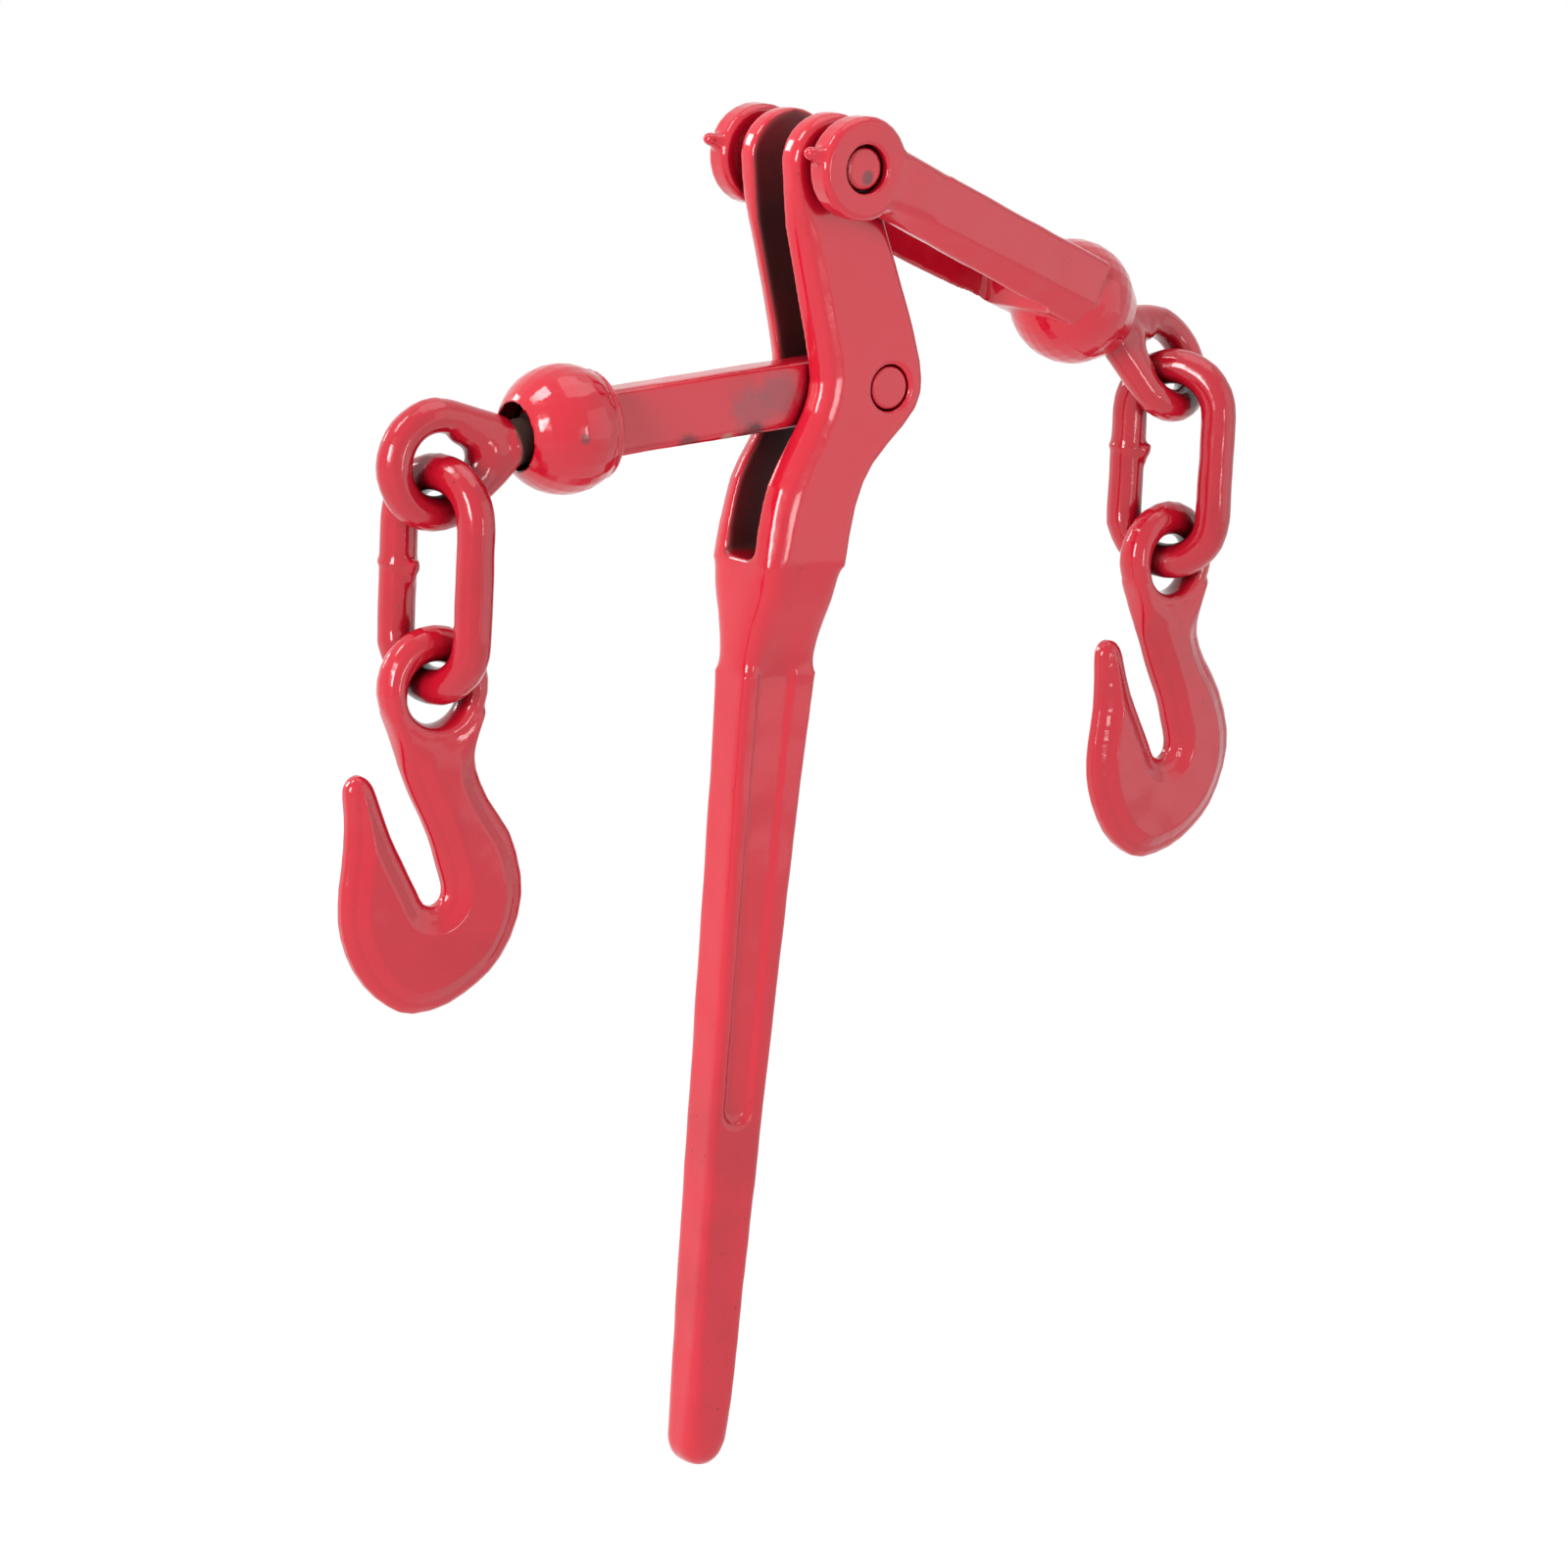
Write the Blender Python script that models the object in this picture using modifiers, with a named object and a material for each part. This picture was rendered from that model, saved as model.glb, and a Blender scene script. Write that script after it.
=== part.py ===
"""Lever-type chain load binder in the 1/4 in class: a forked lever, a heel bar on the pin through its knee, a
clevis yoke on the trunnions of its head, and at the outer end of each a swivel eye, a chain link and a grab hook.

Frame: +Z up, origin between the two trunnions on their axis, Y along it, -X on the heel side.
The pose is the tool held by its head, both short chains plumb. Each moving piece is parented to
the piece that carries it, with its origin, or that of the empty it hangs from, on its joint's axis.
The lever's slot is open over the top of the head, so that the heel bar passes between the trunnions."""

import math

import bmesh
import bpy
from mathutils import Matrix, Vector

MM = 0.001
ROUND_STEPS = 28  # sides of a turned shape

# Clearances
GAP = 0.3 * MM  # between pieces that lie against each other
EAR_PLAY = 0.6 * MM  # radial, trunnions in the yoke's ears
SLOT_PLAY = 0.5 * MM  # each side, heel bar between the lever's cheeks
ARM_PLAY = 4.6 * MM  # each side, lever head between the yoke's ears
SOCKET_PLAY = 0.6 * MM  # radial, ball head in its socket
MOUTH_PLAY = 2.0 * MM  # radial, shank in the socket's mouth
HOOK_PLAY = 0.55 * MM  # hook on its link

# Knee pin, and the trunnions forged on the lever's head
KNEE_PIN_RADIUS = 4.9 * MM
KNEE_PIN_RECESS = 0.5 * MM
TRUNNION_RADIUS = 4.75 * MM
TRUNNION_RECESS = 3.0 * MM  # in from the ears' outer faces
TRUNNION_ROOT = 1.6 * MM  # flare where a trunnion leaves the cheek
PIN_EDGE = 0.5 * MM

# Heel bar, along its own axis from the knee pin
HEEL_ANGLE = 185.7  # degrees from +X towards +Z
BAR_HEIGHT = 14.6 * MM
BAR_THICKNESS = 9.0 * MM
BAR_EYE_SWELL = 1.6 * MM  # the eye's radius over half the bar's height
BAR_EDGE = 1.7 * MM
HEEL_SOCKET_REACH = 79.2 * MM
HEEL_SOCKET_WALL = 4.1 * MM
HEEL_LIP_INSET = 5.8 * MM  # lip's place, from the back of the socket ball
HEEL_LIP_PROUD = 0.9 * MM

# Lever. Its spine runs from the trunnions through these points, given as x and drop below the trunnions.
CHEEK_THICKNESS = 6.2 * MM
HEAD_WALL = 6.45 * MM  # head's edge, out from the trunnion
HEAD_ROUND = 2.2 * MM
BACK_ROUND = 1.6 * MM
KNEE_X = 17.2 * MM
KNEE_DROP = 49.1 * MM
THROAT_X = -2.5 * MM
THROAT_DROP = 81.0 * MM
NECK_X = -4.3 * MM
NECK_DROP = 103.0 * MM
TAIL_X = -14.0 * MM
TAIL_RUN = 16.2 * MM  # last straight stretch, up to the tail point
LEVER_DROP = 296.2 * MM  # lowest point of the handle
HANDLE_HALF = 5.9 * MM  # half of its width along Y
HANDLE_LEAN = 0.05  # back per unit of rise, last stretch
END_ROUND = 3.8 * MM
# Stations: way along the spine (0 trunnions, 1 knee pin, 2 throat, 3 neck, 4 tail), front and back from the
# spine in mm, width (0 as the handle, 1 as the head), and how round the front edges are in mm.
LEVER_STATIONS = (
    (0.08, -12.0, 9.5, 1.0, 2.2),
    (0.18, -13.1, 9.9, 1.0, 3.0),
    (0.28, -14.1, 10.1, 1.0, 4.2),
    (0.43, -14.7, 10.3, 1.02, 5.0),
    (0.59, -15.4, 10.6, 1.06, 5.4),
    (0.75, -16.0, 10.7, 1.09, 5.4),
    (0.88, -16.7, 10.5, 1.11, 5.4),
    (0.96, -17.5, 9.8, 1.11, 5.4),
    (1.04, -17.7, 10.0, 1.11, 5.4),
    (1.15, -16.6, 10.9, 1.11, 5.4),
    (1.28, -16.1, 10.0, 1.13, 5.4),
    (1.40, -15.8, 8.3, 1.15, 5.4),
    (1.53, -15.7, 7.0, 1.17, 5.4),
    (1.66, -15.1, 7.1, 1.19, 5.4),
    (1.82, -13.3, 8.4, 1.21, 5.4),
    (2.0, -10.8, 10.8, 1.23, 5.2),
    (2.27, -10.9, 10.6, 1.23, 4.6),
    (2.45, -10.8, 10.5, 1.17, 3.4),
    (2.64, -10.7, 10.5, 1.0, 2.4),
    (2.82, -10.5, 10.5, 0.70, 1.9),
    (3.0, -10.4, 10.4, 0.40, 1.7),
    (3.03, -10.3, 10.1, 0.19, 1.6),
    (3.07, -10.1, 9.8, 0.08, 1.6),
    (3.14, -9.7, 9.3, 0.02, 1.6),
    (3.35, -8.6, 8.2, 0.0, 1.6),
    (3.6, -7.4, 7.1, -0.02, 1.6),
    (3.86, -6.3, 6.1, -0.04, 1.8),
    (4.0, -5.8, 5.8, -0.06, 2.6),
)
SLOT_RUN = 6.0 * MM  # slot floor, below the throat
SLOT_FLOOR_ROUND = 2.4 * MM
SLOT_EDGE = 1.3 * MM
POCKET_START = 2.0 * MM  # top of the pocket, below the neck
POCKET_LENGTH = 111.0 * MM
POCKET_OFFSET = (-1.6 * MM, -0.9 * MM)  # its centre line from the spine, near top and end
POCKET_HALF = (5.2 * MM, 3.9 * MM)
POCKET_DEPTH = 1.3 * MM

# Yoke, along its own axis from the trunnions
YOKE_ANGLE = -22.9
EAR_WALL = 5.95 * MM  # metal round the trunnion's hole
EAR_ROUND = 1.0 * MM
EAR_THICKNESS = 6.6 * MM
ARM_TOP = (8.1 * MM, 9.4 * MM)  # at the ear and at the socket
ARM_LOW = 7.0 * MM
ARM_CREASE = (-3.8 * MM, -0.9 * MM)  # at the ear and at the socket
ARM_BEVEL = 3.4 * MM
ARM_EDGE = 1.4 * MM
YOKE_SOCKET_REACH = 83.0 * MM
YOKE_SOCKET_WALL = 4.3 * MM
YOKE_FACE_INSET = 2.0 * MM  # flat face of the socket, from the front of its ball
FACE_LAND = 1.6 * MM  # width of that face round the mouth
SADDLE_WALL = 1.8 * MM  # from the end of the opening between the arms to the ball
SADDLE_PLAY = 0.7 * MM  # each side, lever's knee between the arms when the tool is closed
SADDLE_ROUND = 3.0 * MM  # corners of that opening
SADDLE_SLOPE = 0.4  # how its end runs out below the yoke's axis, along the closed lever's back
NUB_RADIUS = 1.4 * MM
NUB_PROUD = 3.3 * MM  # parting nub, out of the ear's edge

# Swivel eyes
HEAD_BALL_RADIUS = 9.5 * MM
SHANK_RADIUS = 4.9 * MM
MOUTH_FLARE = 0.8 * MM
EYE_WIRE_RADIUS = 3.9 * MM
EYE_BEND_RADIUS = 10.5 * MM  # centre line of the wire, round end
EYE_NECK_RADIUS = 4.6 * MM  # centre line, narrow end
EYE_NECK_OUT = 4.9 * MM  # centre of the narrow end, beyond the socket's ball
EYE_LENGTH = 12.4 * MM  # between the centres of its two ends
HEEL_EYE_ANGLE = 191.7
YOKE_EYE_ANGLE = -28.2
HEEL_EYE_TWIST = 0.0
YOKE_EYE_TWIST = -29.0

# Links
LINK_LENGTH = 54.2 * MM
LINK_WIDTH = 30.0 * MM
LINK_WIRE_RADIUS = 4.2 * MM
WELD_SWELL = 1.07
HEEL_SEAT_SWING = -4.0  # degrees round the eye from its lowest point, outward
YOKE_SEAT_SWING = 0.0
HEEL_LINK_YAW = -73.0
YOKE_LINK_YAW = -57.0

# Hooks: outline in the hook's plane, in mm from the centre of its eye hole
HOOK_TOP = 14.7 * MM
HOOK_EYE_RADIUS = 13.0 * MM
HOOK_HOLE_RADIUS = 6.6 * MM
HOOK_HALF = 4.2 * MM
HOOK_CROWN_HALF = 3.7 * MM  # over the top of the eye
HOOK_EDGE = 2.2 * MM
HEEL_HOOK_YAW = -4.0
YOKE_HOOK_YAW = 4.0
HOOK_OUTLINE = (
    (-11.7, -3.2),
    (-10.4, -6.6),
    (-6.9, -14.4),
    (-3.0, -22.8),
    (1.2, -31.2),
    (3.3, -37.0),
    (4.9, -42.4),
    (4.4, -45.8),
    (1.8, -47.6),
    (-1.6, -46.6),
    (-3.7, -43.0),
    (-7.0, -37.0),
    (-10.2, -30.8),
    (-13.2, -23.4),
    (-14.8, -19.6),
    (-17.1, -17.8),
    (-19.1, -19.8),
    (-18.8, -25.4),
    (-18.6, -33.0),
    (-19.5, -41.5),
    (-19.4, -49.0),
    (-17.4, -55.8),
    (-13.2, -62.6),
    (-8.0, -67.0),
    (-2.5, -69.0),
    (5.6, -67.4),
    (12.4, -63.4),
    (17.6, -58.4),
    (21.4, -50.0),
    (21.7, -41.0),
    (18.5, -31.8),
    (13.0, -24.0),
    (9.9, -17.4),
    (9.7, -12.0),
    (11.3, -6.6),
    (12.1, -3.2),
)

SLOT_HALF = BAR_THICKNESS / 2 + SLOT_PLAY
HEAD_HALF = SLOT_HALF + CHEEK_THICKNESS
EAR_INNER = HEAD_HALF + ARM_PLAY
EAR_OUTER = EAR_INNER + EAR_THICKNESS
HEAD_RADIUS = TRUNNION_RADIUS + HEAD_WALL
EAR_RADIUS = TRUNNION_RADIUS + EAR_PLAY + EAR_WALL
CAVITY_RADIUS = HEAD_BALL_RADIUS + SOCKET_PLAY
HEEL_SOCKET_RADIUS = CAVITY_RADIUS + HEEL_SOCKET_WALL
YOKE_SOCKET_RADIUS = CAVITY_RADIUS + YOKE_SOCKET_WALL
MOUTH_RADIUS = SHANK_RADIUS + MOUTH_PLAY
FACE_RADIUS = MOUTH_RADIUS + MOUTH_FLARE + FACE_LAND
EYE_NECK_REACH = YOKE_SOCKET_RADIUS + EYE_NECK_OUT
EYE_REACH = EYE_NECK_REACH + EYE_LENGTH
TAIL_DROP = LEVER_DROP - TAIL_RUN
SPINE = (
    (0.0, 0.0),
    (KNEE_X, KNEE_DROP),
    (THROAT_X, THROAT_DROP),
    (NECK_X, NECK_DROP),
    (TAIL_X, TAIL_DROP),
)
SLOT_FLOOR = THROAT_DROP + SLOT_RUN
KNEE = Vector((KNEE_X, 0.0, -KNEE_DROP))
RED = (0.62, 0.012, 0.02)

PARTS = "load_binder"
CUTTERS = "cutters"


# ------------------------------------------------------------------ scene helpers
def clear_scene():
    for obj in list(bpy.data.objects):
        bpy.data.objects.remove(obj, do_unlink=True)
    for name in (PARTS, CUTTERS):
        collection = bpy.data.collections.new(name)
        bpy.context.scene.collection.children.link(collection)
    bpy.data.collections[CUTTERS].hide_render = True


def place(data, name, matrix, cutter=False):
    obj = bpy.data.objects.new(name, data)
    bpy.data.collections[CUTTERS if cutter else PARTS].objects.link(obj)
    obj.matrix_world = matrix
    if cutter:
        obj.hide_render = True
        obj.display_type = "WIRE"
    return obj


def hang(obj, parent):
    """Parents an object where it is."""
    bpy.context.view_layer.update()
    obj.parent = parent
    obj.matrix_parent_inverse = parent.matrix_world.inverted()


def as_mesh(obj):
    """The object's evaluated shape as a clean mesh object of the same name and place."""
    bpy.context.view_layer.update()
    evaluated = obj.evaluated_get(bpy.context.evaluated_depsgraph_get())
    mesh = bpy.data.meshes.new_from_object(evaluated)
    name, matrix, hidden = obj.name, obj.matrix_world.copy(), obj.hide_render
    bpy.data.objects.remove(obj, do_unlink=True)
    work = bmesh.new()
    work.from_mesh(mesh)
    bmesh.ops.remove_doubles(work, verts=work.verts, dist=1e-6)
    bmesh.ops.recalc_face_normals(work, faces=work.faces)
    work.to_mesh(mesh)
    work.free()
    return place(mesh, name, matrix, hidden)


def boolean(obj, other, operation, solver="EXACT"):
    modifier = obj.modifiers.new(f"{operation.lower()} {other.name}", "BOOLEAN")
    modifier.solver = solver
    modifier.operation = operation
    modifier.object = other
    hang(other, obj)


def add(obj, other):
    boolean(obj, other, "UNION")


def cut(obj, other, solver="EXACT"):
    boolean(obj, other, "DIFFERENCE", solver)


def paint(obj, colour, roughness, metallic=0.0):
    material = bpy.data.materials.new(obj.name + "_paint")
    material.use_nodes = True
    shader = material.node_tree.nodes["Principled BSDF"]
    shader.inputs["Base Color"].default_value = (*colour, 1.0)
    shader.inputs["Roughness"].default_value = roughness
    shader.inputs["Metallic"].default_value = metallic
    obj.data.materials.clear()
    obj.data.materials.append(material)
    obj.data.shade_smooth()
    obj.data.set_sharp_from_angle(angle=math.radians(35))


def along(point, angle, twist=0.0):
    """A frame at a point whose X runs at an angle in the XZ plane, turned about that X by a twist."""
    turn = Matrix.Rotation(-math.radians(angle), 4, "Y")
    return Matrix.Translation(point) @ turn @ Matrix.Rotation(math.radians(twist), 4, "X")


def yawed(point, angle):
    return Matrix.Translation(point) @ Matrix.Rotation(math.radians(angle), 4, "Z")


# ------------------------------------------------------------------ shape helpers
def blend(pair, share):
    return pair[0] + (pair[1] - pair[0]) * share


def skin(work, rings, wrap):
    """Quads between neighbouring rings of equal point count; wrap joins the last ring to the first."""
    loops = []
    for ring in rings:
        loops.append([work.verts.new(point) for point in ring])
    pairs = list(zip(loops, loops[1:]))
    if wrap:
        pairs.append((loops[-1], loops[0]))
    for first, second in pairs:
        for i in range(len(first)):
            j = (i + 1) % len(first)
            work.faces.new((first[i], first[j], second[j], second[i]))
    return loops


def loft(name, rings, matrix, cutter=False, wrap=False):
    """One closed body through rings of points, flat at both ends unless it wraps round on itself."""
    mesh = bpy.data.meshes.new(name)
    work = bmesh.new()
    loops = skin(work, rings, wrap)
    if not wrap:
        work.faces.new(loops[0])
        work.faces.new(loops[-1])
    bmesh.ops.remove_doubles(work, verts=work.verts, dist=1e-6)
    bmesh.ops.triangulate(work, faces=work.faces)
    bmesh.ops.recalc_face_normals(work, faces=work.faces)
    work.to_mesh(mesh)
    work.free()
    return place(mesh, name, matrix, cutter)


def turned(name, profile, matrix, cutter=False, steps=ROUND_STEPS):
    """A profile of (radius, height) pairs turned about its frame's X axis; heights run along X."""
    mesh = bpy.data.meshes.new(name)
    points = [(max(radius, 0.0), 0.0, height) for radius, height in profile]
    edges = [(i, i + 1) for i in range(len(points) - 1)]
    mesh.from_pydata(points, edges, [])
    obj = place(mesh, name, matrix @ Matrix.Rotation(math.pi / 2, 4, "Y"), cutter)
    screw = obj.modifiers.new("screw", "SCREW")
    screw.steps = steps
    screw.render_steps = steps
    screw.use_merge_vertices = True
    screw.merge_threshold = 1e-6
    return as_mesh(obj)


def pin(name, radius, half, point, edge=0.0, cutter=False):
    """A round bar along Y, its ends chamfered by an edge."""
    frame = Matrix.Translation(point) @ Matrix.Rotation(math.pi / 2, 4, "Z")
    profile = [(0.0, half), (radius - edge, half)]
    if edge:
        profile += [(radius, half - edge), (radius, edge - half)]
    profile += [(radius - edge, -half), (0.0, -half)]
    return turned(name, profile, frame, cutter)


def arc(centre, radius, start, end, count):
    """Points on a circle, angles in degrees, both ends included."""
    found = []
    for i in range(count + 1):
        angle = math.radians(start + (end - start) * i / count)
        found.append((centre[0] + radius * math.cos(angle), centre[1] + radius * math.sin(angle)))
    return found


def ball(radius, start, end, count):
    """The profile of a ball for turned(), from one angle off its front to another."""
    return [(reach, height) for height, reach in arc((0.0, 0.0), radius, start, end, count)]


def tube(name, path, radius, matrix, swell=None):
    """A round wire along a closed path in its frame's XZ plane. swell gives a radius factor per point."""
    curve = bpy.data.curves.new(name, "CURVE")
    curve.dimensions = "3D"
    curve.bevel_depth = radius
    curve.bevel_resolution = 4
    spline = curve.splines.new("POLY")
    spline.points.add(len(path) - 1)
    for i, (x, z) in enumerate(path):
        spline.points[i].co = (x, 0.0, z, 1.0)
        spline.points[i].radius = swell[i] if swell else 1.0
    spline.use_cyclic_u = True
    return as_mesh(place(curve, name, matrix))


def plate(name, outline, half, edge, matrix):
    """A flat forging: a closed outline in its frame's XZ plane, with rounded edges."""
    curve = bpy.data.curves.new(name, "CURVE")
    curve.dimensions = "2D"
    curve.fill_mode = "BOTH"
    curve.extrude = half - edge
    curve.bevel_depth = edge
    curve.bevel_resolution = 2
    curve.offset = -edge
    spline = curve.splines.new("POLY")
    spline.points.add(len(outline) - 1)
    for point, (x, z) in zip(spline.points, outline):
        point.co = (x, z, 0.0, 1.0)
    spline.use_cyclic_u = True
    upright = Matrix.Rotation(math.pi / 2, 4, "X")
    return as_mesh(place(curve, name, matrix @ upright))


def smooth_closed(points, cuts):
    """Catmull-Rom points through a closed list of (x, z) pairs."""
    count = len(points)
    found = []
    for i in range(count):
        a, b, c, d = (Vector(points[(i + k) % count]) for k in (-1, 0, 1, 2))
        bend = 2 * a - 5 * b + 4 * c - d
        twist = 3 * b - a - 3 * c + d
        for step in range(cuts):
            t = step / cuts
            spot = b + ((c - a) * t + bend * t**2 + twist * t**3) / 2
            found.append((spot.x, spot.y))
    return found


def clear_rise(resting, wire, reach):
    """How far up a piece's points are moved from lying in a wire's line to lie a reach away from all of it."""
    step = GAP / 20
    rise = reach / 2
    while min((a + Vector((0.0, 0.0, rise)) - b).length for a in resting for b in wire) < reach:
        rise += step
    return rise


# ------------------------------------------------------------------ lever
def spine(way):
    """x and z of the lever's spine, from 0 at the trunnions to 4 at the tail."""
    leg = min(int(way), len(SPINE) - 2)
    share = way - leg
    return blend((SPINE[leg][0], SPINE[leg + 1][0]), share), -blend((SPINE[leg][1], SPINE[leg + 1][1]), share)


def way_at(drop):
    """The way along the spine at a drop below the trunnions."""
    for leg, (first, second) in enumerate(zip(SPINE, SPINE[1:])):
        if drop <= second[1]:
            break
    return leg + (drop - first[1]) / (second[1] - first[1])


def wide(share):
    return blend((HANDLE_HALF, HEAD_HALF), share)


def half_width(drop):
    """Half width of the lever at a drop below the trunnions."""
    way = way_at(drop)
    for first, second in zip(LEVER_STATIONS, LEVER_STATIONS[1:]):
        if way <= second[0]:
            break
    share = (way - first[0]) / (second[0] - first[0])
    return wide(blend((first[3], second[3]), share))


def lever_stations():
    """(front point, back point, half width, front round, back round) from the head's top to the handle's end."""
    found = []
    for angle in (4, 14, 26, 38, 50, 62, 74, 86):
        x = HEAD_RADIUS * math.sin(math.radians(angle))
        z = HEAD_RADIUS * math.cos(math.radians(angle))
        found.append(((-x, z), (x, z), HEAD_HALF, HEAD_ROUND, BACK_ROUND))
    for way, front, back, share, edge in LEVER_STATIONS:
        x, z = spine(way)
        found.append(((x + front * MM, z), (x + back * MM, z), wide(share), edge * MM, BACK_ROUND))
    front, back, half, edge, _ = found[-1]
    middle = (front[0] + back[0]) / 2
    reach = (back[0] - front[0]) / 2
    for angle in (0, 15, 30, 45, 58, 70, 80, 87):
        z = reach - LEVER_DROP - reach * math.sin(math.radians(angle))
        x = reach * math.cos(math.radians(angle))
        lean = (z + TAIL_DROP) * HANDLE_LEAN
        edges = END_ROUND if angle else (edge + END_ROUND) / 2
        found.append(((middle + lean - x, z), (middle + lean + x, z), half, edges, edges))
    return found


def outward(points, i, side):
    """Unit normal of a polyline at a point, to its left (side 1) or right (side -1)."""
    before = Vector(points[max(i - 1, 0)])
    after = Vector(points[min(i + 1, len(points) - 1)])
    run = (after - before).normalized()
    return Vector((-run.y, run.x)) * side


def lever_body():
    stations = lever_stations()
    fronts = [station[0] for station in stations]
    backs = [station[1] for station in stations]
    arcs = [math.radians(angle) for angle in (90, 60, 30, 0)]
    rings = []
    for i, (front, back, half, front_round, back_round) in enumerate(stations):
        ring = []
        # Walking down the length, the front's outer side is on the right and the back's on the left.
        front_normal = outward(fronts, i, -1)
        back_normal = outward(backs, i, 1)
        if i == 0:
            front_normal = Vector(front).normalized()
            back_normal = Vector(back).normalized()
        for point, normal, edge, side in (
            (front, front_normal, front_round, -1),
            (front, front_normal, front_round, 1),
            (back, back_normal, back_round, 1),
            (back, back_normal, back_round, -1),
        ):
            turns = arcs if (side == -1) == (point is front) else reversed(arcs)
            for turn in turns:
                spot = Vector(point) - normal * edge * (1 - math.cos(turn))
                y = side * (half - edge * (1 - math.sin(turn)))
                ring.append((spot.x, y, spot.y))
        rings.append(ring)
    return loft("lever_handle", rings, Matrix())


def slot_cutter():
    """The slot between the cheeks, flared where it leaves the lever so that the cheeks' inner edges are round."""
    stations = [station for station in lever_stations() if station[0][1] > SLOT_FLOOR_ROUND - SLOT_FLOOR]
    last = len(stations) - 1
    fronts = [station[0] for station in stations]
    backs = [station[1] for station in stations]
    levels = [(i, 0.0, 0.0) for i in range(len(stations))]
    for turn in (0, 30, 60, 90):
        tip = SLOT_FLOOR_ROUND * math.sin(math.radians(turn))
        narrow = SLOT_FLOOR_ROUND * (1 - math.cos(math.radians(turn)))
        levels.append((last, narrow, SLOT_FLOOR_ROUND - SLOT_FLOOR - tip - fronts[last][1]))
    flare = [(SLOT_EDGE * 3, SLOT_EDGE * 2)]
    for turn in (70, 50, 25, 0):
        out = SLOT_EDGE * (math.sin(math.radians(turn)) - 1)
        flare.append((out, SLOT_EDGE * (1 - math.cos(math.radians(turn)))))
    rings = []
    for i, narrow, drop in levels:
        half = []
        for point, normal, marks in (
            (fronts[i], outward(fronts, i, -1), flare),
            (backs[i], outward(backs, i, 1), list(reversed(flare))),
        ):
            for out, wider in marks:
                spot = Vector(point) + normal * out
                half.append((spot.x, SLOT_HALF + wider - narrow, spot.y + drop))
        rings.append(half + [(x, -y, z) for x, y, z in reversed(half)])
    top = [(x, y, z + 3 * HEAD_RADIUS) for x, y, z in rings[0]]
    return loft("slot_cutter", [top] + rings, Matrix(), cutter=True)


def pocket_cutter(side):
    """The long shallow panel forged into each face of the handle."""
    ends = []
    start = NECK_DROP + POCKET_START
    for drop, offset in zip(
        (start + POCKET_HALF[0], start + POCKET_LENGTH - POCKET_HALF[1]),
        POCKET_OFFSET,
    ):
        x, z = spine(way_at(drop))
        ends.append((x + offset, z))
    tilt = math.degrees(math.atan2(ends[1][1] - ends[0][1], ends[1][0] - ends[0][0]))
    rings = []
    for inset, depth in ((0.0, -2 * POCKET_DEPTH), (0.0, 0.0), (0.7 * POCKET_DEPTH, POCKET_DEPTH)):
        outline = arc(ends[0], POCKET_HALF[0] - inset, tilt + 90, tilt + 270, 8)
        outline += arc(ends[1], POCKET_HALF[1] - inset, tilt - 90, tilt + 90, 8)
        rings.append([(x, side * (half_width(-z) - depth), z) for x, z in outline])
    return loft("pocket_cutter", rings, Matrix(), cutter=True)


def trunnions():
    """Both trunnions as one round bar along Y, flared where it leaves the cheeks."""
    end = EAR_OUTER - TRUNNION_RECESS
    side = [
        (TRUNNION_RADIUS - PIN_EDGE, end),
        (TRUNNION_RADIUS, end - PIN_EDGE),
        (TRUNNION_RADIUS, HEAD_HALF + TRUNNION_ROOT),
        (TRUNNION_RADIUS + 0.3 * TRUNNION_ROOT, HEAD_HALF + 0.3 * TRUNNION_ROOT),
        (TRUNNION_RADIUS + TRUNNION_ROOT, HEAD_HALF - GAP),
    ]
    profile = [(0.0, end)] + side + [(radius, -height) for radius, height in reversed(side)] + [(0.0, -end)]
    return turned("trunnions", profile, Matrix.Rotation(math.pi / 2, 4, "Z"), cutter=True)


def build_lever():
    lever = lever_body()
    # The exact solver loses the knee's thin flares when these follow one another.
    boolean(lever, trunnions(), "UNION", "MANIFOLD")
    cutters = (
        slot_cutter(),
        pin("knee_hole", KNEE_PIN_RADIUS + GAP, EAR_OUTER, KNEE, cutter=True),
        pocket_cutter(1),
        pocket_cutter(-1),
    )
    for cutter in cutters:
        cut(lever, cutter, "MANIFOLD")
    paint(lever, RED, 0.22)
    return lever


def build_pin(lever):
    half = half_width(KNEE_DROP) - KNEE_PIN_RECESS
    knee = pin("main_pivot_pin", KNEE_PIN_RADIUS, half, KNEE, PIN_EDGE)
    paint(knee, RED, 0.3)
    hang(knee, lever)


# ------------------------------------------------------------------ sockets
def socket_cutter(name, matrix, radius):
    """A round cavity and its mouth; the frame's X points out of the mouth."""
    mouth = MOUTH_RADIUS + MOUTH_FLARE
    start = math.degrees(math.asin(MOUTH_RADIUS / CAVITY_RADIUS))
    profile = [(0.0, radius + mouth), (mouth, radius + mouth), (mouth, radius)]
    profile += ball(CAVITY_RADIUS, start, 180.0, 11)
    return turned(name, profile, matrix, cutter=True)


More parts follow.
